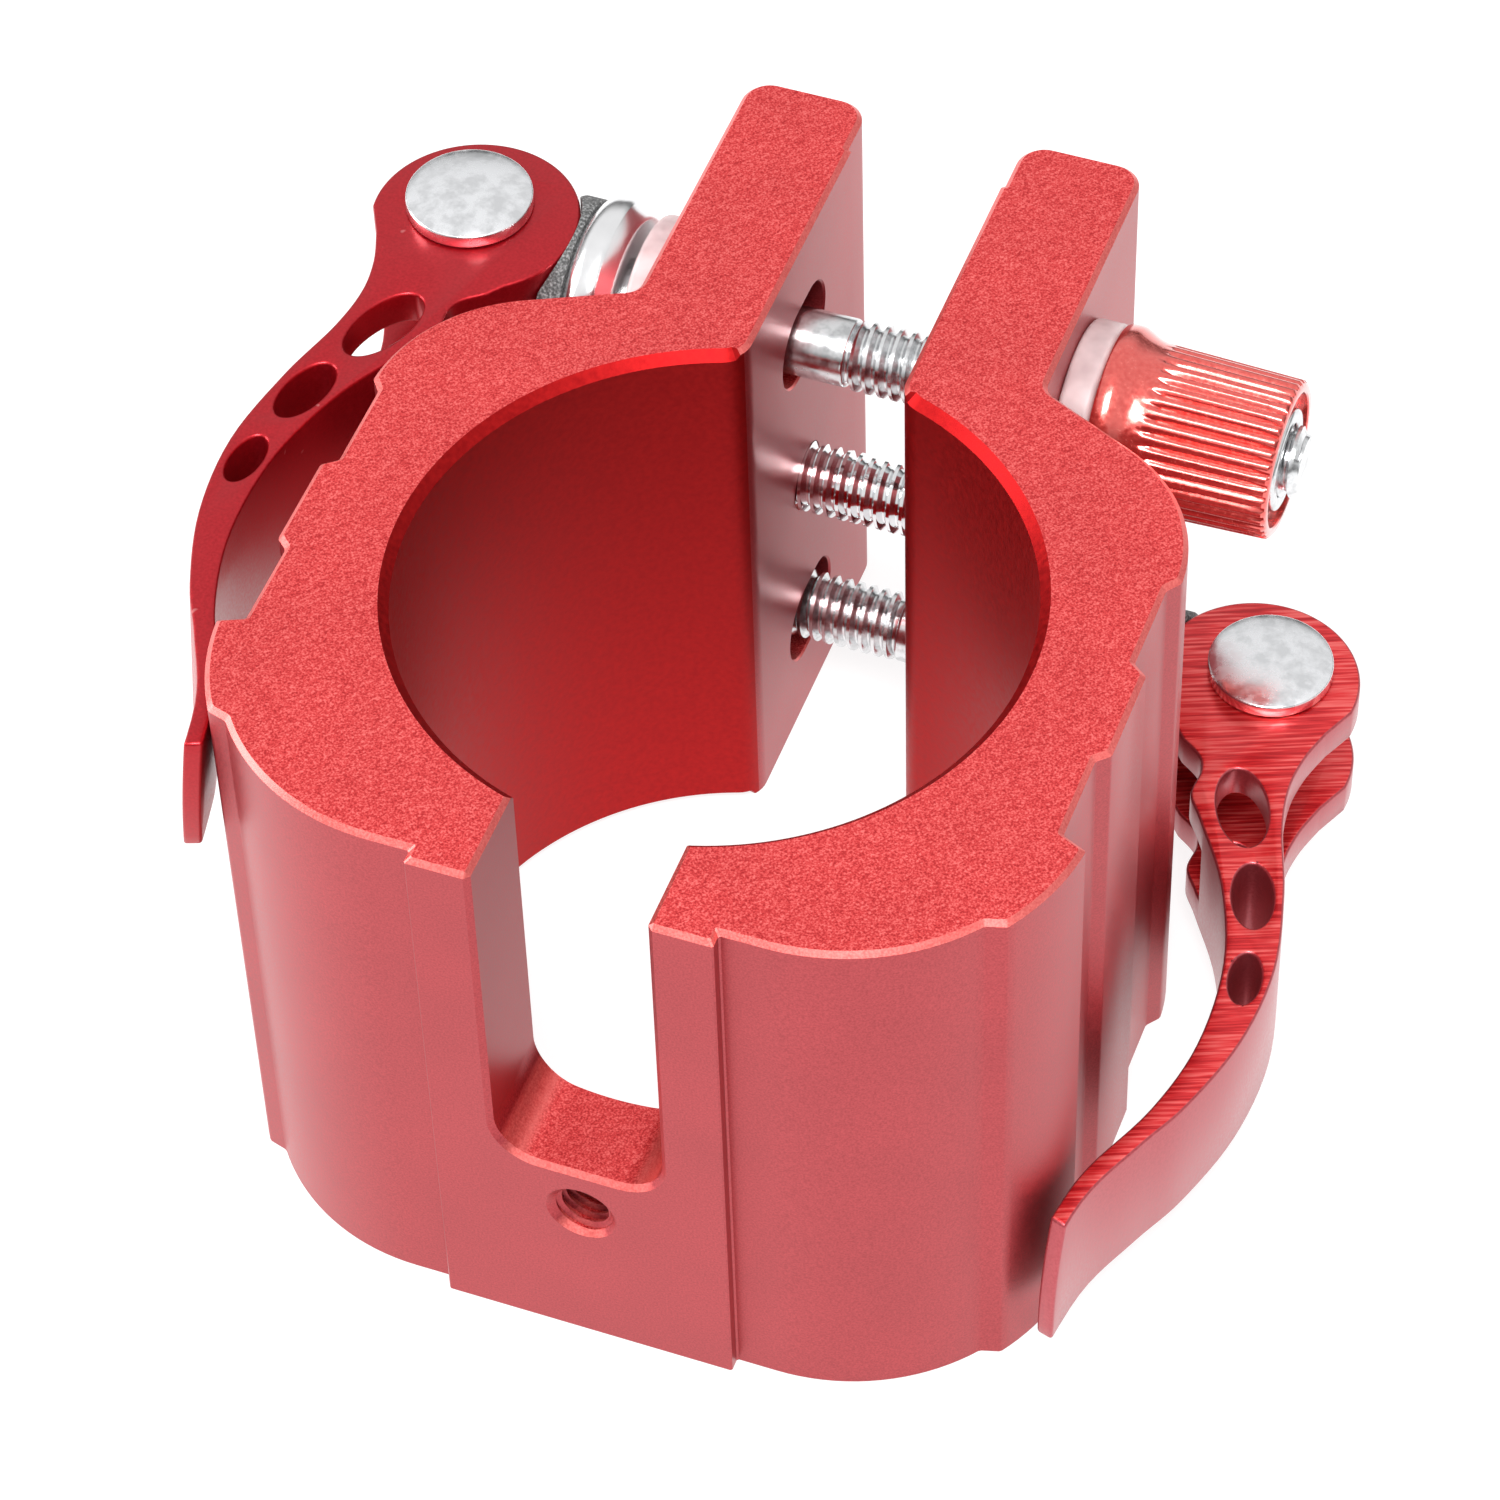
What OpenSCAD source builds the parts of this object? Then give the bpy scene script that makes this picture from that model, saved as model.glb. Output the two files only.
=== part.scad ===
// Twin quick-release clamp for a round stem: a split collar with two long ears,
// drawn together by one socket-head bolt and two cam-lever skewers.
// Frame: origin at the centre of the bore, +Z along the stem, +Y towards the ears,
// +X to the right. The upper skewer has its lever on the left (-X) and its nut on
// the right; the lower one is the same set turned half a turn about the Y axis.

/* [Collar] */
// Bore diameter, which is the outside of the stem
bore_d = 50; // [46:0.5:52]
// Height of the collar along the stem
collar_h = 54.5; // [50:0.5:70]
// Half width of the collar at its raised side flats
side_x = 33.9; // [33:0.1:38]
// Distance from the bore axis to the front panel
front_y = 32.8; // [32:0.1:36]
// Depth of the shallow recesses in the outer wall
relief = 1.2; // [0.6:0.1:1.6]
// Chamfer at both mouths of the bore
bore_chamfer = 0.8; // [0.2:0.1:1.5]

/* [Ears] */
// Gap between the two ears
ear_gap = 13; // [10:0.2:14]
// Thickness of each ear
ear_t = 10.7; // [10:0.1:12]
// Distance from the bore axis to the ear tips
ear_reach = 55; // [50:0.5:60]
// Radius of the corners at the ear tips
ear_tip_r = 2.5; // [1:0.1:4]
// Length of the skewer slots along the ear
slot_len = 10; // [8:0.2:12]
// Height of the skewer slots
slot_h = 7.3; // [7:0.1:9]

/* [Front notch and tapped hole] */
// Width of the open notch in the front wall
notch_w = 14; // [10:0.5:18]
// Height of the notch floor above the bottom face
notch_floor = 21; // [18:0.5:30]
// Radius of the notch's lower corners
notch_r = 3.75; // [2:0.25:5]
// Diameter of the tapped hole below the notch
tap_d = 5; // [4:0.5:6]
// Height of the tapped hole above the bottom face
tap_height = 15.9; // [10:0.1:16]

/* [Screws and skewers] */
// Distance from the bore axis to the screws and skewers
screw_y = 37.7; // [37:0.1:39]
// Distance from mid height to each skewer
skewer_z = 16.75; // [16:0.25:18]
// Diameter of the threads
thread_d = 6; // [5:0.5:6]
// Diameter of a skewer's smooth shank
shank_d = 5.8; // [5:0.1:5.9]
// How far a skewer's end stands out of its nut
skewer_proud = 1.4; // [0:0.1:3]
// Where the upper skewer lies in its slot, along the ear
upper_shift = -0.7; // [-1:0.1:1]
// Where the lower skewer lies in its slot, along the ear
lower_shift = 0.5; // [-1:0.1:1]
// Slack left in the upper skewer, between its washers
upper_slack = 1; // [0.1:0.1:1]
// Slack left in the lower skewer, between its washers
lower_slack = 0.1; // [0.1:0.1:1]

/* [Lever] */
// Distance from the ear's outer face to the lever's pivot
pivot_reach = 17.3; // [17.3:0.1:18]
// Height of the lever along its pivot
lever_h = 12.9; // [12:0.1:14]
// Height of the fork slot that the skewer passes through
fork_h = 6.4; // [6.2:0.1:7]
// How far the fork slot reaches from the pivot into the handle
fork_reach = 18; // [17:0.5:20]
// Radius of the lever's round cam head
cam_r = 8.7; // [8:0.05:8.75]
// Distance from the pivot to the centre of the cam head
cam_throw = 1.4; // [1:0.05:1.6]
// Angle by which the lower lever stands open at rest
lower_open = 3; // [0:0.5:5]

/* [Pivot] */
// Diameter of the pivot barrel
pivot_d = 8; // [7:0.1:8.2]
// Diameter of the domed heads of the pivot
pivot_head_d = 10.6; // [9:0.1:11]

/* [Washers, pad and nut] */
// Diameter and thickness of the nylon washers
nylon_d = 15.2; // [14:0.2:16]
nylon_t = 2.8; // [2:0.1:2.9]
// Diameter of the steel cup washer
cup_d = 16.7; // [15:0.1:17]
// Thickness of the steel cup washer
cup_t = 4.3; // [4:0.1:4.4]
// Diameter of the cam pad
pad_d = 15; // [13:0.2:15.4]
// Thickness of the cam pad at its thickest
pad_t = 2; // [1.8:0.1:3]
// Length of the adjusting nut
nut_len = 15.2; // [12:0.2:18]
// Diameter of the adjusting nut's flange
nut_flange_d = 15.6; // [14:0.2:16]
// Diameter of the adjusting nut at its outer end
nut_end_d = 13.2; // [12:0.1:14]

/* [Hidden] */
$fn = 96;

eps = 0.5;              // how far a cutter runs past the face it opens
run_fit = 0.05;         // radial clearance of a turning or threaded fit
loose_fit = 0.3;        // radial clearance of a washer on its skewer
arc_step = 3;           // degrees between points on a drawn arc

bore_r = bore_d / 2;
top_z = collar_h / 2;
thread_r = thread_d / 2;
shank_r = shank_d / 2;
gap_x = ear_gap / 2;
ear_x = gap_x + ear_t;

// Outer wall, right-hand half
shoulder_c = [19.6, 12];        // centre of the round shoulder behind the side flats
shoulder_r = 14;
taper_a = 25;                   // slope of the shoulder where it runs up to the ear
ear_root_r = 1.5;               // fillet between shoulder and ear
corner_c = [15.6, -13.2];       // centre of both front corner arcs
corner_proud = 1.15;            // how far the raised corners stand out past the side flats
corner_r = side_x + corner_proud - corner_c[0];
corner_edge_a = [-33.5, -37.5]; // where the raised corner starts and ends its step down
panel_x = 12.2;                 // half width of the raised front panel
side_steps = [11.8, 3, -6.3, -14.8];    // heights in Y where the side wall steps
step_run = 0.9;                 // length of each sloping step

// Ear tips and ear roots
tip_relief_y = 49.6;            // the inner faces are relieved beyond this
tip_relief = 0.3;
inner_root_r = 2.5;             // rounding where an ear's inner face meets the bore

// Centre bolt and its seat in the right ear
bolt_seat_r = 6.3;
bolt_seat_depth = 6.9;
bolt_hole_r = 3.4;
bolt_head_r = 5;
bolt_head_h = 6;
bolt_len = 25;
bolt_washer_r = 5.9;
bolt_washer_t = 1;
hex_key = 5;                    // width of the hexagon socket across its flats

// Lever, drawn about its pivot with the handle towards -Y
cam_c = cam_throw * [cos(50), -sin(50)];
handle_outer = [[-6.2, -5.4], [-5.1, -8.6], [-4.65, -12.2], [-5.2, -16.6], [-6.9, -23],
    [-8.1, -31], [-7.4, -39], [-5.1, -46.3], [-2.6, -51.3], [0.2, -57.6], [2, -67]];
handle_inner = [[3.6, -67.2], [2, -58.8], [0.7, -54.2], [-2.4, -47.4], [-4.1, -40],
    [-3.9, -31.4], [-1.7, -23.6], [1.6, -17.5], [3.1, -14.9], [2.9, -12.4], [3.4, -10.8],
    [5.2, -9.3]];
head_from_a = 190;              // where the outer edge leaves the cam circle
head_to_a = -52;                // where the inner edge joins it
hole_places = [[-1.4, -15.2], [-4.5, -24.1], [-6, -32.6]];
hole_sizes = [[4.2, 8.4], [3.4, 6.8], [2.6, 5.3]];
hole_turns = [-21, -15, -7];
tip_bow_r = 40;                 // the handle's end is bowed along the pivot's direction
upper_tip = [-62.6, 1];        // how far out, and at which height, each end reaches furthest
lower_tip = [-62.8, 6];
tip_slant = 20;                 // angle of the end across the handle's thickness

// Positions along a skewer, counted outwards from the ear's outer face
cup_from = nylon_t;
pad_from = cup_from + cup_t;
pad_seat_r = 5;
pad_seat_depth = 1.5;
saddle_gap = 0.12;              // clearance between the cam head and the pad's saddle
pivot_x = -(ear_x + pivot_reach);
pivot_pos = [pivot_x, screw_y, skewer_z];

// Pivot barrel and cap
pivot_r = pivot_d / 2;
pivot_head_r = pivot_head_d / 2;
head_play = 0.1;                // gap between a head and the lever
head_rim = 1.2;
head_dome = 0.75;               // height of the dome above the head's rim
stub_r = 1.8;
stub_len = 2;

// Adjusting nut
nut_from = nylon_t;
insert_r = 4.3;
insert_from = 2;
nut_recess_r = 5.6;
nut_recess = 0.8;

// ---- Helpers -------------------------------------------------------------

// Points on an arc about c, from angle a0 to angle a1
function arc(c, r, a0, a1) =
    let (n = max(2, ceil(abs(a1 - a0) / arc_step)))
    [for (i = [0:n]) let (a = a0 + (a1 - a0) * i / n) c + r * [cos(a), sin(a)]];

// A smooth curve through a list of points, as a Catmull-Rom spline
function curve(p, n = 6) =
    let (last = len(p) - 1)
    concat(
        [for (i = [0:last - 1], k = [0:n - 1])
            let (
                t = k / n,
                a = p[max(i - 1, 0)],
                b = p[i],
                c = p[i + 1],
                d = p[min(i + 2, last)]
            )
            0.5 * (2 * b + (c - a) * t + (2 * a - 5 * b + 4 * c - d) * t * t
                + (3 * b - a - 3 * c + d) * t * t * t)],
        [p[last]]);

function mirrored(p) = [for (i = [len(p) - 1:-1:0]) [-p[i][0], p[i][1]]];

// A cylinder along X, from x0 to x1, on the axis of the upper skewer
module along_skewer(x0, x1, r) {
    translate([x0, screw_y, skewer_z])
        rotate([0, 90, 0])
            cylinder(r = r, h = x1 - x0);
}

// Turns an outline of [radius, distance] points about the upper skewer's axis,
// with distances counted from the ear's outer face; side is -1 for left, 1 for right
module turned_on_skewer(side, outline) {
    translate([side * ear_x, screw_y, skewer_z])
        rotate([0, side * 90, 0])
            rotate_extrude()
                polygon(outline);
}

// Places the upper skewer's pieces; the lever's side is drawn out by the slack
module upper_set(slack = 0) {
    translate([-slack, upper_shift, 0]) children();
}

// The lower skewer set is the upper one turned half a turn about the Y axis
module lower_set(slack = 0) {
    translate([slack, lower_shift, 0]) rotate([0, 180, 0]) children();
}

// ---- Collar --------------------------------------------------------------

// Half of the outer wall, from the ear tip round to the front panel
function ear_edge() =
    let (
        n = [sin(taper_a), cos(taper_a)],
        join = shoulder_c + shoulder_r * n,
        root_x = ear_x + ear_root_r,
        rise = ((root_x - join[0]) * n[0] - ear_root_r) / n[1],
        root_c = [root_x, join[1] - rise]
    )
    concat(
        arc([gap_x + ear_tip_r, ear_reach - ear_tip_r], ear_tip_r, 180, 90),
        arc([ear_x - ear_tip_r, ear_reach - ear_tip_r], ear_tip_r, 90, 0),
        arc(root_c, ear_root_r, 180, 270 - taper_a),
        arc(shoulder_c, shoulder_r, 90 - taper_a, 2));

function side_edge() =
    let (out = side_x, recess = side_x - relief, h = step_run / 2)
    [
        [recess, side_steps[0] - h],
        [recess, side_steps[1] + h], [out, side_steps[1] - h],
        [out, side_steps[2] + h], [recess + 0.2, side_steps[2] - h],
        [recess + 0.2, side_steps[3] + h]
    ];

function corner_edge() =
    let (inner_r = front_y - relief + corner_c[1])
    concat(
        arc(corner_c, corner_r, -6, corner_edge_a[0]),
        arc(corner_c, inner_r, corner_edge_a[1], -90),
        [[panel_x, corner_c[1] - inner_r], [panel_x, -front_y]]);

// Removes the sharp corner between an ear's inner face and the bore
module inner_root_cut() {
    q = inner_root_r;
    c = [gap_x + q, sqrt(pow(bore_r + q, 2) - pow(gap_x + q, 2))];
    on_bore = c * bore_r / (bore_r + q);
    translate([0, 0, -top_z - eps])
        difference() {
            linear_extrude(collar_h + 2 * eps)
                polygon([[gap_x, c[1]], c, on_bore, on_bore - [eps, eps],
                    [gap_x - eps, on_bore[1] - eps], [gap_x - eps, c[1]]]);
            translate([c[0], c[1], -eps]) cylinder(r = q, h = collar_h + 4 * eps);
        }
}

module bore_cut() {
    translate([0, 0, -top_z - eps])
        cylinder(r = bore_r, h = collar_h + 2 * eps, $fn = 180);
    for (side = [0, 180])
        rotate([side, 0, 0])
            translate([0, 0, top_z - bore_chamfer])
                cylinder(r1 = bore_r, r2 = bore_r + bore_chamfer + eps,
                    h = bore_chamfer + eps, $fn = 180);
}

module ear_gap_cut() {
    translate([-gap_x, 0, -top_z - eps])
        cube([ear_gap, ear_reach + eps, collar_h + 2 * eps]);
    translate([-gap_x - tip_relief, tip_relief_y, -top_z - eps])
        cube([ear_gap + 2 * tip_relief, ear_reach, collar_h + 2 * eps]);
}

module notch_cut() {
    floor_z = notch_floor - top_z;
    half = notch_w / 2;
    translate([-half, -front_y - eps, floor_z + notch_r])
        cube([notch_w, front_y, collar_h]);
    translate([-half + notch_r, -front_y - eps, floor_z])
        cube([notch_w - 2 * notch_r, front_y, collar_h]);
    for (side = [-1, 1])
        translate([side * (half - notch_r), -eps, floor_z + notch_r])
            rotate([90, 0, 0])
                cylinder(r = notch_r, h = front_y);
}

module tapped_hole_cut() {
    mouth = 0.45;
    translate([0, -bore_r + 2, tap_height - top_z])
        rotate([90, 0, 0])
            cylinder(d = tap_d, h = front_y);
    translate([0, -front_y + mouth, tap_height - top_z])
        rotate([90, 0, 0])
            cylinder(r1 = tap_d / 2, r2 = tap_d / 2 + mouth + eps, h = mouth + eps);
}

// One slot through both ears
module skewer_slot_cut() {
    half = (slot_len - slot_h) / 2;
    for (dy = [-half, half])
        translate([0, dy, 0]) along_skewer(-ear_x - eps, ear_x + eps, slot_h / 2);
    translate([-ear_x - eps, screw_y - half, skewer_z - slot_h / 2])
        cube([2 * (ear_x + eps), 2 * half, slot_h]);
}

// Threaded in the left ear, free in the right ear, with a seat for the head
module bolt_hole_cut() {
    translate([0, 0, -skewer_z]) {
        along_skewer(-ear_x - eps, 0, thread_r + run_fit);
        along_skewer(0, ear_x + eps, bolt_hole_r);
        along_skewer(ear_x - bolt_seat_depth, ear_x + eps, bolt_seat_r);
    }
}

module clamp_collar() {
    half = concat(ear_edge(), side_edge(), corner_edge());
    color([0.80, 0.16, 0.17])
        difference() {
            translate([0, 0, -top_z])
                linear_extrude(collar_h)
                    polygon(concat(half, mirrored(half)));
            bore_cut();
            ear_gap_cut();
            inner_root_cut();
            mirror([1, 0, 0]) inner_root_cut();
            notch_cut();
            tapped_hole_cut();
            skewer_slot_cut();
            mirror([0, 0, 1]) skewer_slot_cut();
            bolt_hole_cut();
        }
}

// ---- Centre bolt ---------------------------------------------------------

bolt_washer_x = ear_x - bolt_seat_depth;
bolt_head_x = bolt_washer_x + bolt_washer_t;

module centre_bolt() {
    color([0.82, 0.83, 0.85])
        translate([0, 0, -skewer_z])
            difference() {
                union() {
                    along_skewer(bolt_head_x, bolt_head_x + bolt_head_h, bolt_head_r);
                    along_skewer(bolt_head_x - bolt_len, bolt_head_x + 1, thread_r);
                }
                translate([bolt_head_x + bolt_head_h / 2, screw_y, skewer_z])
                    rotate([0, 90, 0])
                        cylinder(d = hex_key / cos(30), h = bolt_head_h, $fn = 6);
            }
}

module centre_bolt_washer() {
    color([0.75, 0.76, 0.78])
        translate([0, 0, -skewer_z])
            difference() {
                along_skewer(bolt_washer_x, bolt_head_x, bolt_washer_r);
                along_skewer(bolt_washer_x - eps, bolt_head_x + eps, bolt_hole_r - 0.1);
            }
}

// ---- Lever ---------------------------------------------------------------

// Points of an ellipse of the given width and height
function ellipse(size) =
    [for (a = [0:6:354]) [size[0] / 2 * cos(a), size[1] / 2 * sin(a)]];

module lever_hole(i) {
    translate([hole_places[i][0], hole_places[i][1], -lever_h])
        rotate([0, 0, hole_turns[i]])
            linear_extrude(2 * lever_h) polygon(ellipse(hole_sizes[i]));
}

// The handle's end is bowed, so its upper and lower corners are cut back
module tip_cut(tip) {
    reach = 8;
    translate([0, tip[0], tip[1]])
        rotate([0, 0, tip_slant])
            difference() {
                translate([-reach, -reach, -lever_h])
                    cube([2 * reach, 1.5 * reach, 2 * lever_h]);
                translate([-reach - eps, tip_bow_r, 0])
                    rotate([0, 90, 0])
                        cylinder(r = tip_bow_r, h = 2 * (reach + eps), $fn = 180);
            }
}

module lever(tip) {
    outline = concat(
        arc(cam_c, cam_r, head_to_a, head_from_a),
        curve(handle_outer), curve(handle_inner));
    color([0.78, 0.13, 0.16])
        difference() {
            translate([0, 0, -lever_h / 2]) linear_extrude(lever_h) polygon(outline);
            translate([-15, -fork_reach, -fork_h / 2]) cube([30, 40, fork_h]);
            translate([0, 0, -lever_h]) cylinder(r = pivot_r + run_fit, h = 2 * lever_h);
            for (i = [0:len(hole_places) - 1]) lever_hole(i);
            tip_cut(tip);
        }
}

module upper_lever() { upper_set(upper_slack) translate(pivot_pos) lever(upper_tip); }
module lower_lever() {
    lower_set(lower_slack)
        translate(pivot_pos) rotate([0, 0, -lower_open]) lever(lower_tip);
}

// ---- Pivot ---------------------------------------------------------------

// A shallow dome on a thin rim, standing on z = 0
module domed_head() {
    dome_r = (pow(pivot_head_r, 2) + pow(head_dome, 2)) / (2 * head_dome);
    cylinder(r = pivot_head_r, h = head_rim);
    intersection() {
        translate([0, 0, head_rim + head_dome - dome_r]) sphere(r = dome_r, $fn = 180);
        translate([0, 0, head_rim / 2])
            cylinder(r = pivot_head_r, h = head_rim / 2 + 2 * head_dome);
    }
}

pivot_end = lever_h / 2 + head_play;

// Turned barrel with one domed head, cross-drilled for the skewer's thread
module pivot_barrel() {
    color([0.72, 0.73, 0.75])
        translate(pivot_pos)
            difference() {
                union() {
                    translate([0, 0, -pivot_end]) cylinder(r = pivot_r, h = 2 * pivot_end);
                    translate([0, 0, -pivot_end]) mirror([0, 0, 1]) domed_head();
                }
                translate([-2 * pivot_r, 0, 0])
                    rotate([0, 90, 0])
                        cylinder(r = thread_r, h = 4 * pivot_r);
                translate([0, 0, pivot_end - stub_len]) cylinder(r = stub_r, h = stub_len + eps);
            }
}

// Domed cap pressed into the barrel's open end
module pivot_cap() {
    color([0.80, 0.81, 0.83])
        translate(pivot_pos + [0, 0, pivot_end]) {
            domed_head();
            translate([0, 0, -stub_len]) cylinder(r = stub_r, h = stub_len + head_rim);
        }
}

module upper_pivot_barrel() { upper_set(upper_slack) pivot_barrel(); }
module lower_pivot_barrel() { lower_set(lower_slack) pivot_barrel(); }
module upper_pivot_cap() { upper_set(upper_slack) pivot_cap(); }
module lower_pivot_cap() { lower_set(lower_slack) pivot_cap(); }

// ---- Skewer --------------------------------------------------------------

skewer_in_barrel = 3.4;          // how far the skewer runs past the pivot's centre
skewer_outer_end = ear_x + nut_from + nut_len + skewer_proud;
thread_from = -1.9;             // the shank's smooth part ends inside the ear gap
pivot_thread_len = 6;
end_chamfer = 0.5;

module skewer(slack = 0) {
    centre = pivot_x - slack;
    color([0.78, 0.79, 0.81]) {
        along_skewer(centre - skewer_in_barrel, centre + pivot_thread_len, thread_r);
        along_skewer(centre + pivot_thread_len, thread_from, shank_r);
        along_skewer(thread_from, skewer_outer_end - end_chamfer, thread_r);
        translate([skewer_outer_end - end_chamfer, screw_y, skewer_z])
            rotate([0, 90, 0])
                cylinder(r1 = thread_r, r2 = thread_r - end_chamfer, h = end_chamfer);
    }
}

module upper_skewer() { upper_set() skewer(upper_slack); }
module lower_skewer() { lower_set() skewer(lower_slack); }

// ---- Washers and pad on the lever's side ----------------------------------

module nylon_washer(side) {
    edge = 0.5;
    inner = thread_r + loose_fit;
    color([0.90, 0.88, 0.88])
        turned_on_skewer(side, [
            [inner, 0], [nylon_d / 2, 0], [nylon_d / 2, nylon_t - edge],
            [nylon_d / 2 - edge, nylon_t], [inner, nylon_t]]);
}

module cup_washer() {
    edge = 0.8;
    inner = thread_r + loose_fit;
    outer = cup_d / 2;
    color([0.85, 0.86, 0.88])
        turned_on_skewer(-1, concat(
            [[inner, cup_from], [outer - edge, cup_from]],
            arc([outer - edge, cup_from + edge], edge, -90, 0),
            arc([outer - edge, pad_from - edge], edge, 0, 90),
            [[pad_seat_r + run_fit, pad_from],
             [pad_seat_r + run_fit, pad_from - pad_seat_depth - run_fit],
             [inner, pad_from - pad_seat_depth - run_fit]]));
}

// Round pad with a saddle that the cam head turns in
module cam_pad() {
    inner = thread_r + loose_fit;
    color([0.22, 0.22, 0.23])
        difference() {
            turned_on_skewer(-1, [
                [inner, pad_from - pad_seat_depth], [pad_seat_r, pad_from - pad_seat_depth],
                [pad_seat_r, pad_from], [pad_d / 2, pad_from],
                [pad_d / 2, pad_from + pad_t], [inner, pad_from + pad_t]]);
            translate(pivot_pos + [cam_c[0], cam_c[1], -pad_d])
                cylinder(r = cam_r + saddle_gap, h = 2 * pad_d, $fn = 180);
        }
}

module upper_cam_pad() { upper_set(upper_slack) cam_pad(); }
module lower_cam_pad() { lower_set(lower_slack) cam_pad(); }
module upper_cup_washer() { upper_set(upper_slack) cup_washer(); }
module lower_cup_washer() { lower_set(lower_slack) cup_washer(); }
module upper_lever_washer() { upper_set() nylon_washer(-1); }
module lower_lever_washer() { lower_set() nylon_washer(-1); }
module upper_nut_washer() { upper_set() nylon_washer(1); }
module lower_nut_washer() { lower_set() nylon_washer(1); }

// ---- Adjusting nut ---------------------------------------------------------

// Waisted behind its flange, hollow for the threaded insert
module nut_sleeve() {
    flange_r = nut_flange_d / 2;
    end_r = nut_end_d / 2;
    waist_r = end_r + 0.3;
    waist_at = nut_from + 3.6;
    end = nut_from + nut_len;
    color([0.82, 0.10, 0.12])
        turned_on_skewer(1, concat(
            [[thread_r + loose_fit, nut_from], [flange_r - 0.3, nut_from],
             [flange_r, nut_from + 0.3]],
            curve([[flange_r, nut_from + 1.3], [flange_r - 0.35, nut_from + 2],
                [waist_r + 0.2, nut_from + 2.9], [waist_r, waist_at]], 4),
            [[end_r, end - 0.5], [end_r - 0.5, end],
             [nut_recess_r, end], [nut_recess_r, end - nut_recess],
             [insert_r, end - nut_recess], [insert_r, nut_from + insert_from],
             [thread_r + loose_fit, nut_from + insert_from]]));
}

// Steel insert that carries the nut's thread and bears on the sleeve's floor
module nut_insert() {
    end = nut_from + nut_len;
    edge = 0.3;
    color([0.70, 0.71, 0.73])
        turned_on_skewer(1, [
            [thread_r + run_fit, nut_from + insert_from], [insert_r, nut_from + insert_from],
            [insert_r, end - edge], [insert_r - edge, end], [thread_r + run_fit, end]]);
}

module upper_nut_sleeve() { upper_set() nut_sleeve(); }
module lower_nut_sleeve() { lower_set() nut_sleeve(); }
module upper_nut_insert() { upper_set() nut_insert(); }
module lower_nut_insert() { lower_set() nut_insert(); }

// ---- Nodes -----------------------------------------------------------------

clamp_collar();
centre_bolt();
centre_bolt_washer();
upper_lever();
upper_pivot_barrel();
upper_pivot_cap();
upper_skewer();
upper_cam_pad();
upper_cup_washer();
upper_lever_washer();
upper_nut_washer();
upper_nut_sleeve();
upper_nut_insert();
lower_lever();
lower_pivot_barrel();
lower_pivot_cap();
lower_skewer();
lower_cam_pad();
lower_cup_washer();
lower_lever_washer();
lower_nut_washer();
lower_nut_sleeve();
lower_nut_insert();
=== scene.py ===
"""Looks of a twin quick-release stem clamp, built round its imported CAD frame.

Meshes are worked out in millimetres and scaled to metres when they become objects. +X runs along
the skewers, +Y towards the ears and +Z along the stem, with the origin at the centre of the bore.
Pieces of a skewer set are built about the upper skewer's axis with the lever towards -X; the lower
set is the same, turned half a turn about Y.
"""
import math

import bmesh
import bpy
from mathutils import Matrix, Vector


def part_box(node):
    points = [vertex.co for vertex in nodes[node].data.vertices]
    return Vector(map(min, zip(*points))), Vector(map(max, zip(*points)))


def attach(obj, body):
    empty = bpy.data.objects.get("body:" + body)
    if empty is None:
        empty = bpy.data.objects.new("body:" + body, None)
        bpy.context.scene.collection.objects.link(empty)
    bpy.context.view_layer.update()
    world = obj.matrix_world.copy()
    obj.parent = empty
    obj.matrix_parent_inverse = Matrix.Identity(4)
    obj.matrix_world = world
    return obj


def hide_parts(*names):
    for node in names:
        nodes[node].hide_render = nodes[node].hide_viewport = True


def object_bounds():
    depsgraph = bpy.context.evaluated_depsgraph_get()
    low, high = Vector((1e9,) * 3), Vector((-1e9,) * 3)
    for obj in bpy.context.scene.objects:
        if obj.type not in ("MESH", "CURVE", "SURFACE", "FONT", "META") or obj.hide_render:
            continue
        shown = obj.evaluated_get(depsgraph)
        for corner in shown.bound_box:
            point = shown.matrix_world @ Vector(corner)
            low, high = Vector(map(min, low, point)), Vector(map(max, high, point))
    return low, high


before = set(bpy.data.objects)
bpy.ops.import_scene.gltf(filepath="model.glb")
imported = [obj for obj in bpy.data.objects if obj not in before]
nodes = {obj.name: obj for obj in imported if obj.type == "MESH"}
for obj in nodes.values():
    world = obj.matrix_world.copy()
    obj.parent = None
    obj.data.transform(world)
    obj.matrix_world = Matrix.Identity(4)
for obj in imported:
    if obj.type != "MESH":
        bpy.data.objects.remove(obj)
cad_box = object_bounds()

MM = 0.001
SIDES = ("upper", "lower")


def corners_of(node):
    """A CAD node's lowest and highest corners, in millimetres."""
    low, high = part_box(node)
    return Vector(low) / MM, Vector(high) / MM


# ---- Camera ------------------------------------------------------------------------------------

CAMERA_PLACE = Vector((111.45, -271.44, 348.53))
CAMERA_AZIMUTH = math.radians(21.87)
CAMERA_ELEVATION = math.radians(49.24)
CAMERA_ROLL = math.radians(-2.06)
CAMERA_LENS = 136.26


def add_camera():
    az, el, roll = CAMERA_AZIMUTH, CAMERA_ELEVATION, CAMERA_ROLL
    back = Vector((math.sin(az) * math.cos(el), -math.cos(az) * math.cos(el), math.sin(el)))
    right = Vector((math.cos(az), math.sin(az), 0))
    up = back.cross(right)
    turned_right = right * math.cos(roll) + up * math.sin(roll)
    turned_up = up * math.cos(roll) - right * math.sin(roll)
    data = bpy.data.cameras.new("camera")
    data.lens = CAMERA_LENS
    data.sensor_width = 36
    data.clip_start = 0.01
    camera = bpy.data.objects.new("camera", data)
    turn = Matrix((turned_right, turned_up, back)).transposed().to_4x4()
    camera.matrix_world = Matrix.Translation(CAMERA_PLACE * MM) @ turn
    bpy.context.scene.collection.objects.link(camera)
    bpy.context.scene.camera = camera


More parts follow.
